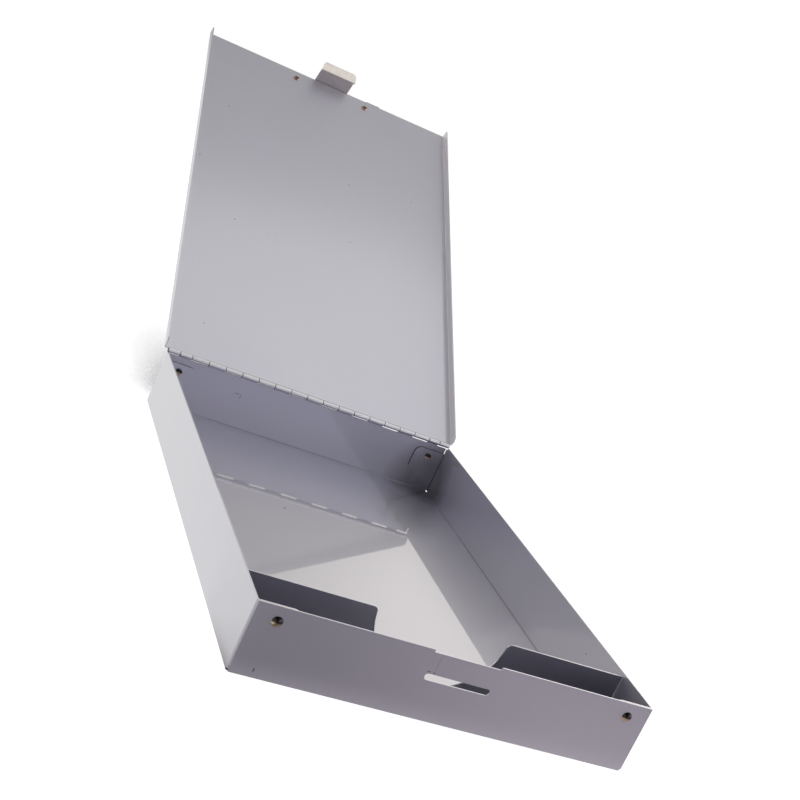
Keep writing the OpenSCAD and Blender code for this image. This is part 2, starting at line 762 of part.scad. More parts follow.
// Sweeps a round wire of diameter d along points that never run parallel to X
module wire(points, d) {
    sides = 10;
    last = len(points) - 1;
    function unit(v) = v / norm(v);
    function heading(i) = unit(points[min(i + 1, last)] - points[max(i - 1, 0)]);
    rings = [for (i = [0 : last]) let (
        ahead = heading(i),
        across = unit(cross(cross(ahead, [1, 0, 0]), ahead)),
        upward = cross(ahead, across)
    ) for (k = [0 : sides - 1])
        points[i] + d / 2 * (cos(360 * k / sides) * across + sin(360 * k / sides) * upward)];
    faces = concat(
        [[for (k = [0 : sides - 1]) k]],
        [for (i = [0 : last - 1], k = [0 : sides - 1]) let (n = (k + 1) % sides)
            [i * sides + k, (i + 1) * sides + k, (i + 1) * sides + n, i * sides + n]],
        [[for (k = [sides - 1 : -1 : 0]) last * sides + k]]
    );
    polyhedron(rings, faces, convexity = 10);
}

module clip_spring() {
    color("dimgray") opened() translate([0, pivot_y, pivot_z]) wire(spring_path(), wire_d);
}

tray_pan();
lid_panel();
hinge_pin();
pen_divider();
front_rivet(-1);  // front_left_rivet
front_rivet(1);  // front_right_rivet
back_rivet(-1);  // back_left_rivet
back_rivet(1);  // back_right_rivet
foot_rivet(-foot_rivets_x[1]);  // divider_rivet_outer_left
foot_rivet(-foot_rivets_x[0]);  // divider_rivet_inner_left
foot_rivet(foot_rivets_x[0]);  // divider_rivet_inner_right
foot_rivet(foot_rivets_x[1]);  // divider_rivet_outer_right
latch_plate();
latch_tab();
clip_base();
clip_lever();
clip_pin();
clip_spring();
clip_rivet(-1);  // clip_left_rivet
clip_rivet(1);  // clip_right_rivet
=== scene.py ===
# %% [markdown]
# A shallow document box folded from thin aluminium sheet. Its lid stands open on a long rolled
# hinge, a divider keeps pens at the front, and a spring latch and a paper clip sit at the lid's
# free edge. The frame that is loaded here holds every part at its real size, in metres, with +X
# to the right, +Y to the hinge and +Z up. This lesson adds what the frame leaves out: the finish
# of each metal, softly broken edges, a spring leg that clears the pressed lever, a studio and a
# camera.

# %% Load the frame
import json
import math

import bpy
from mathutils import Matrix, Vector

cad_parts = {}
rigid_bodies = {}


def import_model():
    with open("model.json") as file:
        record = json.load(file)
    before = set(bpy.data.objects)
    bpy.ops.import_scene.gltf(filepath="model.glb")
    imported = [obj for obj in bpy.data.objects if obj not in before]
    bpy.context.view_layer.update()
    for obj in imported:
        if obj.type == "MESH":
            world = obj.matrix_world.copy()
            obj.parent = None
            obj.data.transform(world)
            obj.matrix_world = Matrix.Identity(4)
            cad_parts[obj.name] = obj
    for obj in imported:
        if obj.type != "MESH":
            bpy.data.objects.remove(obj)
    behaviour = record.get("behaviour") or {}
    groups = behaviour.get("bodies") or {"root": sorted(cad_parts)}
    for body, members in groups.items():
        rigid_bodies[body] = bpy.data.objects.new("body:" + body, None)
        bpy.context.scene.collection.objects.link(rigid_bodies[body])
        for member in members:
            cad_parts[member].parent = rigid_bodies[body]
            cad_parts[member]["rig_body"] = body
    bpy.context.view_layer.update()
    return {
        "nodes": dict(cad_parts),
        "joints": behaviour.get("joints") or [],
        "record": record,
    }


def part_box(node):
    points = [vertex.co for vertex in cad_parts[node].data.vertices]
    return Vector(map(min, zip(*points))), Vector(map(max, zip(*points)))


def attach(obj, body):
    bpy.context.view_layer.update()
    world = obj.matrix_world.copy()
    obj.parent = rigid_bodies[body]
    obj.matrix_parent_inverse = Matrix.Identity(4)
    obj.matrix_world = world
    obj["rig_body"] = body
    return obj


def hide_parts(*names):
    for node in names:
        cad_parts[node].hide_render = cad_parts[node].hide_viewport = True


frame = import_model()
NODES = frame["nodes"]
PIVOTS = {joint["name"]: Vector(joint["pos_m"]) for joint in frame["joints"]}
SLOT_OF = {part["node"]: part["material_slot"] for part in frame["record"]["subparts"]}
MM = 0.001
print("joints:", sorted(PIVOTS))

# %% [markdown]
# Every later step needs the same few moves: clear the selection, pick one object, take a free
# copy of a part, and hand a finished piece over. The frame loads with all its nodes selected, and
# an operator acts on all that is selected, so clearing comes before anything else.

# %% Selection helpers
def clear_selection():
    if bpy.context.mode != "OBJECT":
        bpy.ops.object.mode_set(mode="OBJECT")
    bpy.ops.object.select_all(action="DESELECT")


def pick(piece):
    clear_selection()
    piece.select_set(True)
    bpy.context.view_layer.objects.active = piece


def free_copy(node):
    """Copies a node of the frame, off its body and without its notes, so it can be shaped."""
    pick(NODES[node])
    bpy.ops.object.duplicate()
    piece = bpy.context.object
    piece.name = node + "_finished"
    piece.data.name = piece.name
    for key in list(piece.keys()):
        del piece[key]
    bpy.ops.object.parent_clear(type="CLEAR_KEEP_TRANSFORM")
    return piece


def hand_over(piece, node):
    """The piece rides on the node's body and stands in for it, which is hidden."""
    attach(piece, NODES[node]["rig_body"])
    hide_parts(node)


clear_selection()
print("selected now:", len(bpy.context.selected_objects))

# %% [markdown]
# The camera comes early, because each finish is judged through it. It stands low in front of the
# box, to the left, and is rolled by 25 degrees, so that the box seems to lie on a slope.

# %% Camera
CAMERA_AT = Vector((-0.3261, -0.7294, 0.2888))
CAMERA_TARGET = Vector((-0.0012, 0.0326, 0.0983))
CAMERA_ROLL = math.radians(25.0)
SENSOR_MM = 36
LENS_MM = 61.53

camera_data = bpy.data.cameras.new("camera")
camera_data.sensor_width = SENSOR_MM
camera_data.lens = LENS_MM
camera = bpy.data.objects.new("camera", camera_data)
bpy.context.scene.collection.objects.link(camera)
facing = (CAMERA_TARGET - CAMERA_AT).to_track_quat("-Z", "Y").to_matrix().to_4x4()
camera.matrix_world = Matrix.Translation(CAMERA_AT) @ facing @ Matrix.Rotation(CAMERA_ROLL, 4, "Z")
bpy.context.scene.camera = camera
print("camera", round((CAMERA_TARGET - CAMERA_AT).length, 3), "m from its target")

# %% [markdown]
# A material is a small graph of nodes. These helpers keep each graph readable: they set a node's
# values by name, do sums, map ranges, mix colours, and give the Object coordinates that every
# pattern here is drawn on. All pieces share one origin, so a pattern runs on from one folded face
# to the next, as the rolling grain of one sheet does.

# %% Node helpers
MIX_AMOUNT, MIX_FIRST, MIX_SECOND, MIX_RESULT = 0, 6, 7, 2  # the Mix node's sockets for colours


def new_material(name):
    material = bpy.data.materials.new(name)
    material.use_nodes = True
    return material, material.node_tree.nodes["Principled BSDF"]


def set_values(node, **values):
    """Sets sockets by name, with _ for a space."""
    for key, value in values.items():
        node.inputs[key.replace("_", " ")].default_value = value


def add_node(tree, kind, operation=None, **values):
    node = tree.nodes.new(kind)
    if operation:
        node.operation = operation
    set_values(node, **values)
    return node


def math_node(tree, operation, first, second=None):
    node = add_node(tree, "ShaderNodeMath", operation)
    for socket, value in zip(node.inputs, (first, second)):
        if isinstance(value, bpy.types.NodeSocket):
            tree.links.new(value, socket)
        elif value is not None:
            socket.default_value = value
    return node.outputs[0]


def object_point(tree, scale=(1, 1, 1)):
    """Object coordinates in metres, stretched by a scale along each axis."""
    coordinates = tree.nodes.new("ShaderNodeTexCoord")
    mapping = add_node(tree, "ShaderNodeMapping", Scale=scale)
    tree.links.new(coordinates.outputs["Object"], mapping.inputs["Vector"])
    return mapping.outputs["Vector"]


def separate(tree, vector):
    """The X, Y and Z of a vector, as sockets."""
    node = tree.nodes.new("ShaderNodeSeparateXYZ")
    tree.links.new(vector, node.inputs[0])
    return tuple(node.outputs)


def noise(tree, point, scale, detail, roughness=0.5):
    node = add_node(tree, "ShaderNodeTexNoise", Scale=scale, Detail=detail, Roughness=roughness)
    tree.links.new(point, node.inputs["Vector"])
    return node.outputs["Fac"]


def ramp(tree, value, low, high, to_low, to_high):
    """Maps a value from one range to another, and stops at both ends."""
    node = add_node(tree, "ShaderNodeMapRange", From_Min=low, From_Max=high,
                    To_Min=to_low, To_Max=to_high)
    tree.links.new(value, node.inputs["Value"])
    return node.outputs["Result"]


def blend_colours(tree, amount, first, second):
    node = tree.nodes.new("ShaderNodeMix")
    node.data_type = "RGBA"
    tree.links.new(amount, node.inputs[MIX_AMOUNT])
    for index, colour in ((MIX_FIRST, first), (MIX_SECOND, second)):
        if isinstance(colour, bpy.types.NodeSocket):
            tree.links.new(colour, node.inputs[index])
        else:
            node.inputs[index].default_value = (*colour, 1)
    return node.outputs[MIX_RESULT]


def bump(tree, shader, height, distance, strength):
    """Adds a bump on top of what already turns the shader's normal."""
    node = add_node(tree, "ShaderNodeBump", Strength=strength, Distance=distance)
    tree.links.new(height, node.inputs["Height"])
    if shader.inputs["Normal"].is_linked:
        tree.links.new(shader.inputs["Normal"].links[0].from_socket, node.inputs["Normal"])
    tree.links.new(node.outputs["Normal"], shader.inputs["Normal"])


print("node helpers are ready")

# %% [markdown]
# A box that is used picks up small marks: dark pits, a short scratch or two, and smudges beside
# the latch slot. Painted shade is laid the same way along the folds, in the creases under and over
# the hinge's barrels, in two upright corners and in the far corner, where shade falls. Each mark is
# a soft-edged ellipsoid at a place on the object, long ones for the creases, so no picture is
# needed. A mark is written as its middle and three radii, in millimetres, and its strength.

# %% Handling marks and painted shade
SMALL = (0.65, 0.65, 0.65)
SPOT_CORE, SPOT_RIM = 0.5, 1.1  # shares of the radius, between which a mark fades out
WALL_BLUR = 0.3 * MM
MARKS = [
    ((-91.9, 409.3, 191.7), SMALL, 0.9), ((-110.7, 350.7, 153.1), SMALL, 0.9),
    ((-75.8, 304.3, 122.5), SMALL, 0.9), ((21.3, 380.4, 172.7), SMALL, 0.9),
    ((81.6, 389.7, 178.8), SMALL, 0.7), ((24.2, 324.9, 136.1), SMALL, 0.7),
    ((-90.3, 208.7, 59.4), SMALL, 0.7), ((-34.0, 51.5, 0.9), (0.8, 1.6, 0.8), 0.9),
    ((113.1, -104.2, 27.4), SMALL, 0.8), ((-101.4, -180.0, 4.5), (0.55, 1.0, 1.5), 0.8),
    ((-16.7, -180.0, 27.2), (1.3, 1.0, 0.5), 0.6), ((-13.6, -180.0, 27.1), (1.0, 1.0, 0.45), 0.6),
    ((-13.7, -180.0, 32.5), (0.4, 1.0, 6.0), 0.22), ((-55.4, 179.1, 26.0), (2.2, 1.0, 0.45), 0.6),
    ((-52.5, 179.1, 24.4), (0.45, 1.0, 1.8), 0.6),
]
# Painted shade: long dark strips along the floor's back and right folds, under and over the hinge's
# barrels, and in two upright corners.
CREASE_PAINTED_SHADE = [
    ((0.0, 178.9, 1.3), (130.0, 0.8, 0.8), 0.35), ((112.9, 0.0, 1.3), (0.8, 200.0, 0.8), 0.35),
    ((0.0, 179.2, 38.1), (130.0, 1.0, 0.55), 0.40), ((0.0, 181.3, 41.4), (130.0, 0.7, 0.7), 0.55),
    ((-113.5, -180.0, 20.0), (0.40, 0.9, 26.0), 0.60), ((112.9, 178.3, 18.0), (1.0, 1.0, 24.0), 0.85),
]
# Painted shade: the tray's back right corner is darkened, as the shade that falls there.
CORNER_PAINTED_SHADE = ((112.0, 178.0, 6.0), (36.0, 30.0, 36.0), 0.70)
MIDDLE_OF_WALLS = (113.55 * MM, 179.55 * MM)


def soft_spot(tree, point, middle, radii, strength):
    """Strength inside an ellipsoid, nought past its rim."""
    scale = [1 / (radius * MM) for radius in radii]
    shift = [-place * MM * size for place, size in zip(middle, scale)]
    placed = add_node(tree, "ShaderNodeMapping", Location=shift, Scale=scale)
    tree.links.new(point, placed.inputs["Vector"])
    reach = add_node(tree, "ShaderNodeVectorMath", "LENGTH")
    tree.links.new(placed.outputs["Vector"], reach.inputs[0])
    return ramp(tree, reach.outputs["Value"], SPOT_CORE, SPOT_RIM, strength, 0)


def inside_tray(tree, point):
    """One on the walls' inner faces and the floor, nought on their outer faces and past them."""
    past = [math_node(tree, "SUBTRACT", math_node(tree, "ABSOLUTE", place), limit)
            for place, limit in zip(separate(tree, point), MIDDLE_OF_WALLS)]
    return ramp(tree, math_node(tree, "MAXIMUM", *past), -WALL_BLUR, WALL_BLUR, 1, 0)


def marks_and_painted_shade(tree, point):
    """The strongest of the marks and the painted shade at a point. The corner's painted shade stays
    inside the tray.
    """
    mask = math_node(tree, "MULTIPLY", soft_spot(tree, point, *CORNER_PAINTED_SHADE), inside_tray(tree, point))
    for mark in MARKS + CREASE_PAINTED_SHADE:
        mask = math_node(tree, "MAXIMUM", mask, soft_spot(tree, point, *mark))
    return mask


print("marks:", len(MARKS), "seams:", len(CREASE_PAINTED_SHADE))

# %% [markdown]
# The sheet is satin aluminium: rolled, then lightly etched. A broad lobe gives it the soft grey
# tone of an etched face, and it turns a little sharper along the surface, as rough metal does, so
# its roughness follows the Layer Weight node. A thin clear coat adds the sharp mirror that shows
# when the sheet is seen along its surface. On top come the things that tell metal from grey
# paint: fine grain along the rolling direction, cloudy tone and a slow waviness that bends long
# reflections. The divider's sheet is painted darker, as the shade it stands in; the lid's right
# flange is painted pale, as light falling on it; and the tops of the hinge's knuckles are painted
# bright, as their highlight.

# %% Satin aluminium
SHEET_TINT = (0.635, 0.630, 0.675)
SHEET_SHADE = (0.595, 0.590, 0.635)
# Painted shade: the divider's sheet is made dark, for the shade it stands in.
SHADED_DIVIDER_TINT = (0.25, 0.25, 0.29)
SHADED_DIVIDER_DIM = (0.22, 0.22, 0.26)
# Painted light: pale and less metallic, for the inner face of the lid's right flange.
LIT_FLANGE_TINT = (0.97, 0.95, 0.88)
LIT_FLANGE_DIM = (0.93, 0.91, 0.84)
# Painted highlight: near white, for the tops of the hinge's knuckles.
KNUCKLE_HIGHLIGHT_TINT = (0.96, 0.94, 0.90)
KNUCKLE_HIGHLIGHT_DIM = (0.92, 0.90, 0.86)
# The colour of the marks, and of the painted shade in the folds and the far corner.
MARK_AND_SHADE_TINT = (0.10, 0.09, 0.09)
ALONG_THE_ROLL = (1, 0.03, 0.03)  # squeezes a pattern's scale, so that its spots become streaks
CLOUD_SCALE, GRAIN_SCALE, WAVE_SCALE = 14, 1500, 7
CLOUD_SHARE, GRAIN_SHARE = 0.35, 0.65
STEEP_ROUGHNESS = 0.64
GRAZING_ROUGHNESS = 0.42
CLOUD_ROUGHNESS = 0.02
WAVE_HEIGHT, GRAIN_HEIGHT = 0.4 * MM, 0.004 * MM
COAT_IOR = 2.5


def satin_aluminium(name, tint, shade, coat_blur, coat=1, metal=1):
    material, shader = new_material(name)
    tree = material.node_tree
    point = object_point(tree)
    clouds = ramp(tree, noise(tree, point, CLOUD_SCALE, 4, 0.6), 0.35, 0.65, 0, 1)
    grain = noise(tree, object_point(tree, ALONG_THE_ROLL), GRAIN_SCALE, 3)
    tone = math_node(tree, "ADD", math_node(tree, "MULTIPLY", clouds, CLOUD_SHARE),
                     math_node(tree, "MULTIPLY", grain, GRAIN_SHARE))
    colour = blend_colours(tree, tone, shade, tint)
    # Marks and painted shade darken the sheet where the mask is strong.
    colour = blend_colours(tree, marks_and_painted_shade(tree, point), colour, MARK_AND_SHADE_TINT)
    tree.links.new(colour, shader.inputs["Base Color"])

    edge_on = add_node(tree, "ShaderNodeLayerWeight", Blend=0.5)
    base = ramp(tree, edge_on.outputs["Facing"], 0.15, 0.75, STEEP_ROUGHNESS, GRAZING_ROUGHNESS)
    cloudy = ramp(tree, clouds, 0, 1, -CLOUD_ROUGHNESS, CLOUD_ROUGHNESS)
    tree.links.new(math_node(tree, "ADD", base, cloudy), shader.inputs["Roughness"])
    set_values(shader, Metallic=metal, Coat_Weight=coat, Coat_IOR=COAT_IOR, Coat_Roughness=coat_blur)
    bump(tree, shader, noise(tree, point, WAVE_SCALE, 1), WAVE_HEIGHT, 0.35)
    bump(tree, shader, grain, GRAIN_HEIGHT, 0.5)
    return material


sheet_metal = satin_aluminium("sheet_aluminium", SHEET_TINT, SHEET_SHADE, 0.03)
lid_metal = satin_aluminium("lid_aluminium", SHEET_TINT, SHEET_SHADE, 0.20)
# Painted shade on the divider's sheet.
shaded_divider_metal = satin_aluminium("divider_painted_shade", SHADED_DIVIDER_TINT, SHADED_DIVIDER_DIM, 0.12, coat=0.6)
# Painted light on the lid's right flange.
lit_flange_metal = satin_aluminium("flange_painted_light", LIT_FLANGE_TINT, LIT_FLANGE_DIM, 0.16, coat=0.4, metal=0.2)
# Painted highlight on the tops of the knuckles.
knuckle_highlight_metal = satin_aluminium("knuckle_painted_highlight", KNUCKLE_HIGHLIGHT_TINT, KNUCKLE_HIGHLIGHT_DIM, 0.10)
SHEET_METALS = (sheet_metal, lid_metal, shaded_divider_metal, lit_flange_metal, knuckle_highlight_metal)
print("made", [metal.name for metal in SHEET_METALS])

# %% [markdown]
# The small parts are other metals: polished brass and copper rivets, a plated latch and clip,
# and drawn steel wire for the hinge pin and the spring. Each needs little more than a colour, a
# roughness and light scuffs. The heads in the front and back walls are painted dark above their
# middle, as shade. The faces in the sheet's gaps, notches and inner bends get a dark, dull
# material, hardly metal to the eye, that paints the shade in them.

# %% Polished and plated metals
BRASS, WORN_BRASS = (0.70, 0.58, 0.42), (0.60, 0.49, 0.35)
COPPER, WORN_COPPER = (0.50, 0.32, 0.22), (0.40, 0.26, 0.18)
WARM_PLATE, WORN_WARM_PLATE = (0.74, 0.69, 0.62), (0.67, 0.62, 0.56)
PLATE, WORN_PLATE = (0.74, 0.73, 0.72), (0.68, 0.67, 0.66)
PIN_WIRE, WORN_PIN_WIRE = (0.30, 0.30, 0.31), (0.24, 0.24, 0.25)
SPRING_WIRE, WORN_SPRING_WIRE = (0.34, 0.34, 0.36), (0.27, 0.27, 0.29)
# Painted shade for the faces between the knuckles, in the hinge's notches, round the corner flaps and in
# the inner bends.
CUT_EDGE_SHADE, CUT_EDGE_DEEP_SHADE = (0.07, 0.07, 0.08), (0.04, 0.04, 0.05)
# Painted shade: the rivet heads in the front and back walls turn this dark above their middle.
DOME_PAINTED_SHADE = (0.045, 0.04, 0.035)
SHADE_FADES_BELOW, SHADE_FULL_OVER = 0.6 * MM, 0.3 * MM  # where it fades in, round the head's middle
BRASS_ROUGHNESS = 0.10
SCUFF_ROUGHNESS = 0.06
SCUFF_SCALE, SKIN_SCALE = 420, 2600
SKIN_HEIGHT = 0.004 * MM


def plain_metal(name, tint, worn, roughness, dark_above=None):
    material, shader = new_material(name)
    tree = material.node_tree
    point = object_point(tree)
    wear = ramp(tree, noise(tree, point, SCUFF_SCALE, 5, 0.65), 0.42, 0.70, 0, 1)
    colour = blend_colours(tree, wear, tint, worn)
    # Painted shade: above the given height the head is darkened.
    if dark_above is not None:
        height = separate(tree, point)[2]
        upper = ramp(tree, height, dark_above - SHADE_FADES_BELOW, dark_above + SHADE_FULL_OVER, 0, 1)
        colour = blend_colours(tree, upper, colour, DOME_PAINTED_SHADE)
    tree.links.new(colour, shader.inputs["Base Color"])
    scuffed = ramp(tree, wear, 0, 1, roughness, roughness + SCUFF_ROUGHNESS)
    tree.links.new(scuffed, shader.inputs["Roughness"])
    set_values(shader, Metallic=1)
    bump(tree, shader, noise(tree, point, SKIN_SCALE, 3), SKIN_HEIGHT, 0.4)
    return material


def finish_with(part, metal):
    part.data.materials.clear()
    part.data.materials.append(metal)


FINISHES = {
    "satin_aluminium": sheet_metal,
    "divider_aluminium": shaded_divider_metal,
    "rivet_brass": plain_metal("rivet_brass", BRASS, WORN_BRASS, BRASS_ROUGHNESS),
    "rivet_copper": plain_metal("rivet_copper", COPPER, WORN_COPPER, 0.24),
    "latch_steel": plain_metal("latch_plate_steel", WARM_PLATE, WORN_WARM_PLATE, 0.36),
    "clip_steel": plain_metal("clip_steel", PLATE, WORN_PLATE, 0.20),
    "pin_steel": plain_metal("pin_steel", PIN_WIRE, WORN_PIN_WIRE, 0.30),
    "spring_steel": plain_metal("spring_steel", SPRING_WIRE, WORN_SPRING_WIRE, 0.30),
}
# Painted shade: a dark, dull, hardly metallic material for the faces that stand in shade.
edge_shade_metal = plain_metal("cut_edge_painted_shade", CUT_EDGE_SHADE, CUT_EDGE_DEEP_SHADE, 0.85)
edge_shade_shader = edge_shade_metal.node_tree.nodes["Principled BSDF"]
set_values(edge_shade_shader, Metallic=0, Specular_IOR_Level=0.1)

for node, part in NODES.items():
    finish_with(part, lid_metal if node == "lid_panel" else FINISHES[SLOT_OF[node]])
# Painted shade on the front and back rivet heads, above their middle.
for end in ("front", "back"):
    low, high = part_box(f"{end}_left_rivet")
    middle = (low[2] + high[2]) / 2
    shaded_head_brass = plain_metal(f"{end}_rivet_brass", BRASS, WORN_BRASS, BRASS_ROUGHNESS, middle)
    for side in ("left", "right"):
        finish_with(NODES[f"{end}_{side}_rivet"], shaded_head_brass)
    print(f"{end} rivets are darker above z = {middle / MM:.1f} mm")
print("finishes:", sorted(FINISHES))

# %% [markdown]
# Sheet that has been sheared and folded never has knife edges: the shear rolls one side over and
# deburring breaks the other. A thin bright line along each cut edge shows it. Each part that is
# cut from sheet is therefore copied, its loose triangles are merged into whole faces, and a very
# small bevel is applied. The copy then stands for the frame's own node.

# %% Break the sheet's edges
SHEET_BREAK = 0.12 * MM
FITTING_BREAK = 0.08 * MM
BREAK_SEGMENTS = 2
SHARP_ANGLE = math.radians(35)
FLAT_ANGLE = math.radians(0.3)
MERGE_DISTANCE = 0.002 * MM


def broken_edges(node, width):
    piece = free_copy(node)
    bpy.ops.object.mode_set(mode="EDIT")
    bpy.ops.mesh.select_all(action="SELECT")
    bpy.ops.mesh.remove_doubles(threshold=MERGE_DISTANCE)
    bpy.ops.mesh.dissolve_limited(angle_limit=FLAT_ANGLE)
    bpy.ops.object.mode_set(mode="OBJECT")
    edge_break = piece.modifiers.new("edge_break", "BEVEL")
    edge_break.width = width
    edge_break.segments = BREAK_SEGMENTS
    edge_break.limit_method = "ANGLE"
    edge_break.angle_limit = SHARP_ANGLE
    edge_break.harden_normals = True
    bpy.ops.object.shade_smooth_by_angle(angle=SHARP_ANGLE)
    bpy.ops.object.modifier_apply(modifier=edge_break.name)
    hand_over(piece, node)
    print(f"{piece.name}: {len(piece.data.polygons)} faces, edges broken by {width / MM:.2f} mm")
    return piece


tray = broken_edges("tray_pan", SHEET_BREAK)
lid = broken_edges("lid_panel", SHEET_BREAK)
divider = broken_edges("pen_divider", SHEET_BREAK)
for node in ("latch_tab", "latch_plate", "clip_base", "clip_lever"):
    broken_edges(node, FITTING_BREAK)

# %% [markdown]
# A torsion spring's leg bends when the clip's lever is pressed. A stiff leg would come through
# the lever at its far limit, so the visible spring has its upper leg let down to where the
# pressed lever meets it. At rest it hangs a little clear, out of sight under the lever.

# %% Spring leg
CLIP_PIVOT = PIVOTS["clip_pivot"]
LEG_LET_DOWN = math.radians(24)
LEG_FROM_X = 3.0 * MM
LEG_FROM_PIVOT = 6.0 * MM

spring = free_copy("clip_spring")
let_down = Matrix.Rotation(LEG_LET_DOWN, 3, "X")
moved = 0
for vertex in spring.data.vertices:
    arm = vertex.co - CLIP_PIVOT
    if vertex.co.x > LEG_FROM_X and math.hypot(arm.y, arm.z) > LEG_FROM_PIVOT:
        vertex.co = CLIP_PIVOT + let_down @ arm
        moved += 1
bpy.ops.object.shade_smooth_by_angle(angle=SHARP_ANGLE)
hand_over(spring, "clip_spring")
print("spring:", moved, "points of the upper leg let down")

# %% [markdown]
# Not every face of a sheet looks alike. Between the hinge's knuckles, in its notches, round the
# corner flaps and along the tray's upright inner bends, the faces are painted dark, as the shade
# that falls in these gaps and creases. The tops of the knuckles are painted bright, as their
# highlight, and the lid's right flange is painted pale, as light falling on it. The divider's
# up-facing edges keep the plain sheet, as bright lines beside its painted shade. Faces are chosen
# by their place and normal, and each group gets a material slot of its own.

# %% Faces with painted shade and light of their own
HINGE = PIVOTS["lid_hinge"]
BARREL_HALF_WIDTH, BARREL_HALF_HEIGHT = 2.6 * MM, 3.2 * MM
BARREL_SKIN = 2.0 * MM
BEND_X, BEND_Y, BEND_REACH = 112.8 * MM, 177.8 * MM, 0.5 * MM
NOTCH_BACK, NOTCH_RIGHT = 176 * MM, 52 * MM
NOTCH_LOW, NOTCH_HIGH = 36.5 * MM, 39.2 * MM
FLAP_NEAR, FLAP_FAR, FLAP_SIDE = 178.0 * MM, 179.3 * MM, 112.5 * MM
FLAP_LOW, FLAP_HIGH = 3.0 * MM, 37.5 * MM
FLANGE_X = 113 * MM


def paint_faces(piece, metal, wanted):
    """Gives the metal to the faces whose middle and normal are wanted."""
    piece.data.materials.append(metal)
    slot = len(piece.data.materials) - 1
    chosen = [face for face in piece.data.polygons if wanted(face.center, face.normal)]
    for face in chosen:
        face.material_index = slot
    print(piece.name, "has", len(chosen), "faces of", metal.name)


def knuckle_end(middle, normal):
    arm = middle - HINGE
    near = abs(arm.y) < BARREL_HALF_WIDTH and abs(arm.z) < BARREL_HALF_HEIGHT
    return near and abs(normal.x) > 0.3


def barrel_top(middle, normal):
    arm = middle - HINGE
    return math.hypot(arm.y, arm.z) < BARREL_SKIN and abs(normal.x) < 0.3 and normal.z > -0.2


def inner_bend(middle, normal):
    reach = math.hypot(abs(middle.x) - BEND_X, abs(middle.y) - BEND_Y)
    return reach < BEND_REACH and abs(normal.z) < 0.1


def notch_floor(middle, normal):
    in_notch = middle.y > NOTCH_BACK and middle.x < NOTCH_RIGHT
    return in_notch and NOTCH_LOW < middle.z < NOTCH_HIGH and normal.z > 0.3


def flap_edge(middle, normal):
    in_wall = FLAP_NEAR < abs(middle.y) < FLAP_FAR and abs(middle.x) < FLAP_SIDE
    return in_wall and FLAP_LOW < middle.z < FLAP_HIGH and abs(normal.y) < 0.7


def shaded_tray_edge(middle, normal):
    return knuckle_end(middle, normal) or notch_floor(middle, normal) or flap_edge(middle, normal)


def right_flange(middle, normal):
    return normal.x < -0.5 and middle.x > FLANGE_X


def top_edge(middle, normal):
    return normal.z > 0.3


# Painted highlight on the knuckle tops, painted light on the flange, painted shade in the gaps, notches,
# flap edges and inner bends.
paint_faces(tray, knuckle_highlight_metal, barrel_top)
paint_faces(tray, edge_shade_metal, shaded_tray_edge)
paint_faces(tray, edge_shade_metal, inner_bend)
paint_faces(lid, knuckle_highlight_metal, barrel_top)
paint_faces(lid, edge_shade_metal, knuckle_end)
paint_faces(lid, lit_flange_metal, right_flange)
paint_faces(divider, sheet_metal, top_edge)

# %% [markdown]
# The table is a plain pale sheet. It glows a little for the camera, so it stays white, but only
# where it lies open to the sky: under the box and the lid the glow is held back, by how much of
# the sky is covered. What the metal mirrors is another matter. The table looks bright behind and
# at the left and dark in front, so a mirrored wall is shaded from one end to the other, as bare
# metal is beside a dark camera.

# %% Table
TABLE_SIZE = 8
SEEN_GLOW, SEEN_PAPER, MIRRORED_PAPER = 0.95, 0.30, 0.04
COVER_REACH = (0.25, 0.045)
COVER_SAMPLES = 8
COVERED, OPEN = 0.42, 0.60
COVERED_SHARE = 0.02
GLOW_BEHIND = 0.89
GLOW_AT_LEFT = 0.62
GLOW_IN_FRONT, GLOW_FAR_IN_FRONT = 0.33, 0.05
FRONT_FADE = (-0.20, -0.12)
LEFT_FADE = (-0.122, -0.115)
NEAR_LEFT, NEAR_RIGHT = (-0.10, 0.34), (0.08, 1.1)  # an x, and the share of the glow there
FAR_FADE = (-0.45, -0.25)
WHITE = (1, 1, 1)
ROSY_SHADE = (1.06, 0.94, 0.98)

clear_selection()
bpy.ops.mesh.primitive_plane_add(size=TABLE_SIZE, location=(0, 0, 0))
table = bpy.context.object
table.name = "studio_table"

table_material = new_material("studio_table")[0]
tree = table_material.node_tree
tree.nodes.clear()
output = tree.nodes.new("ShaderNodeOutputMaterial")
path = tree.nodes.new("ShaderNodeLightPath")
across, along = separate(tree, object_point(tree))[:2]

far_cover, near_cover = (
    add_node(tree, "ShaderNodeAmbientOcclusion", Distance=distance) for distance in COVER_REACH)
for cover in (far_cover, near_cover):
    cover.samples = COVER_SAMPLES
open_sky = math_node(tree, "DIVIDE", far_cover.outputs["AO"], near_cover.outputs["AO"])
open_share = ramp(tree, open_sky, COVERED, OPEN, COVERED_SHARE, 1)
seen_glow = math_node(tree, "MULTIPLY", open_share, SEEN_GLOW)
seen_glow = math_node(tree, "MULTIPLY", seen_glow, path.outputs["Is Camera Ray"])

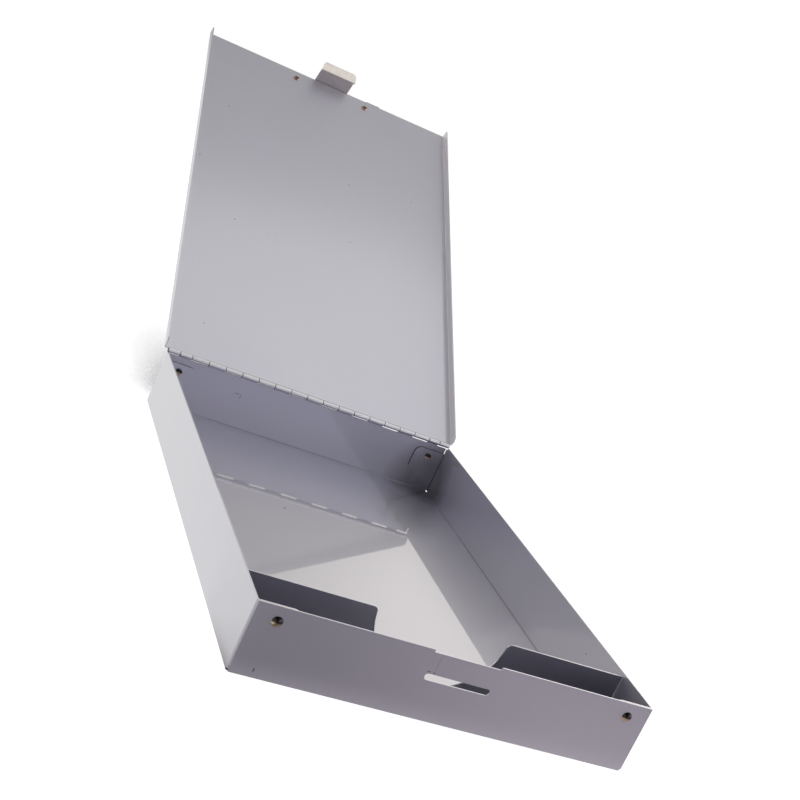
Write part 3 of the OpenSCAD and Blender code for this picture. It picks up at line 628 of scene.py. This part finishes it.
front_part = ramp(tree, along, *FRONT_FADE, 1, 0)
back_part = math_node(tree, "SUBTRACT", 1, front_part)
left_part = ramp(tree, across, *LEFT_FADE, 1, 0)
right_part = math_node(tree, "SUBTRACT", 1, left_part)
near_share = ramp(tree, across, NEAR_LEFT[0], NEAR_RIGHT[0], NEAR_LEFT[1], NEAR_RIGHT[1])
near = math_node(tree, "MULTIPLY", near_share,
                 ramp(tree, along, *FAR_FADE, GLOW_FAR_IN_FRONT, GLOW_IN_FRONT))
near = math_node(tree, "MULTIPLY", right_part, near)
near = math_node(tree, "ADD", near, math_node(tree, "MULTIPLY", left_part, GLOW_AT_LEFT))
near = math_node(tree, "MULTIPLY", near, front_part)
mirrored = math_node(tree, "ADD", math_node(tree, "MULTIPLY", back_part, GLOW_BEHIND), near)
mirrored = math_node(tree, "MULTIPLY", mirrored, path.outputs["Is Glossy Ray"])

rosy = math_node(tree, "MULTIPLY", front_part, right_part)
rosy = math_node(tree, "MULTIPLY", rosy, path.outputs["Is Glossy Ray"])
glow = tree.nodes.new("ShaderNodeEmission")
tree.links.new(blend_colours(tree, rosy, WHITE, ROSY_SHADE), glow.inputs["Color"])
tree.links.new(math_node(tree, "ADD", mirrored, seen_glow), glow.inputs["Strength"])
paper = tree.nodes.new("ShaderNodeBsdfDiffuse")
paper_tint = blend_colours(tree, path.outputs["Is Glossy Ray"], (SEEN_PAPER,) * 3, (MIRRORED_PAPER,) * 3)
tree.links.new(paper_tint, paper.inputs["Color"])
surface = tree.nodes.new("ShaderNodeAddShader")
tree.links.new(paper.outputs[0], surface.inputs[0])
tree.links.new(glow.outputs[0], surface.inputs[1])
tree.links.new(surface.outputs[0], output.inputs["Surface"])
table.data.materials.append(table_material)
print("table", table.dimensions[0], "m wide")

# %% [markdown]
# The room is a gradient worked out from the direction alone, so it stays put in every view: a
# bright wall at the right, a softer one at the left, a pale one behind, and a dark camera side
# and ceiling. The camera itself sees only white.

# %% World
BACKDROP = 0.36
FRONT_RIGHT = 0.19
FRONT_LEFT = 0.24
RIGHT_ROOM = 1.75
LEFT_ROOM = 0.88
CEILING = 0.08
CAMERA_SIDE = (0.10, -0.60)  # parts of a direction, from where a wall starts to where it is full
FRONT_MIDDLE = (-0.25, 0.25)
FRONT_TOP = (0.15, 0.45)
BACKDROP_SIDE = (-0.10, 0.45)
RIGHT_SIDE, LEFT_SIDE = (0.10, 0.80), (-0.10, -0.80)
WALL_TOP = (0.35, 0.85)
COOL_LIGHT = (0.94, 0.93, 1.13)
WARM_LIGHT = (1.02, 0.98, 0.95)

world = bpy.data.worlds.new("studio")
bpy.context.scene.world = world
world.use_nodes = True
tree = world.node_tree
background = tree.nodes["Background"]
path = tree.nodes.new("ShaderNodeLightPath")
coordinates = tree.nodes.new("ShaderNodeTexCoord")
across, along, upward = separate(tree, coordinates.outputs["Generated"])

front = math_node(tree, "MULTIPLY", ramp(tree, along, *CAMERA_SIDE, 0, 1),
                  ramp(tree, across, *FRONT_MIDDLE, FRONT_LEFT, FRONT_RIGHT))
front = math_node(tree, "MULTIPLY", front, ramp(tree, upward, *FRONT_TOP, 1, 0))
walls = math_node(tree, "ADD", ramp(tree, along, *BACKDROP_SIDE, 0, BACKDROP), front)
walls = math_node(tree, "ADD", walls, ramp(tree, across, *RIGHT_SIDE, 0, RIGHT_ROOM))
walls = math_node(tree, "ADD", walls, ramp(tree, across, *LEFT_SIDE, 0, LEFT_ROOM))
walls = math_node(tree, "MULTIPLY", walls, ramp(tree, upward, *WALL_TOP, 1, 0))
room = math_node(tree, "ADD", walls, ramp(tree, upward, *WALL_TOP, 0, CEILING))
room = math_node(tree, "MAXIMUM", room, path.outputs["Is Camera Ray"])
tree.links.new(room, background.inputs["Strength"])
tint = blend_colours(tree, ramp(tree, along, *BACKDROP_SIDE, 0, 1), COOL_LIGHT, WARM_LIGHT)
tint = blend_colours(tree, path.outputs["Is Camera Ray"], tint, WHITE)
tree.links.new(tint, background.inputs["Color"])
print("world: backdrop", BACKDROP, "front right", FRONT_RIGHT, "ceiling", CEILING)

# %% [markdown]
# Two soft lamps shape the sheet. A large one hangs over the box, and a smaller and weaker one
# stands behind it. They are area lamps, because metal mirrors the whole of a lamp and a small one
# would show as a hard spot. A lamp's power follows from how bright its face is and how large.

# %% Softboxes
def softbox(name, at, aim, size, radiance):
    clear_selection()
    bpy.ops.object.light_add(type="AREA", location=at)
    lamp = bpy.context.object
    lamp.name = name
    lamp.data.shape = "SQUARE"
    lamp.data.size = size
    lamp.data.energy = radiance * math.pi * size * size
    lamp.rotation_euler = (Vector(aim) - Vector(at)).to_track_quat("-Z", "Y").to_euler()
    print(name, round(lamp.data.energy, 2), "W")


softbox("overhead_softbox", at=(0.30, 0.10, 1.30), aim=(0.10, 0.10, 0.0), size=1.1, radiance=1)
softbox("rear_softbox", at=(0.32, 1.08, 1.30), aim=(0.10, 0.40, 0.1), size=0.8, radiance=0.24)

# %% [markdown]
# The last cell sets the plain view transform.

# %% Finish
bpy.context.scene.view_settings.view_transform = "Standard"
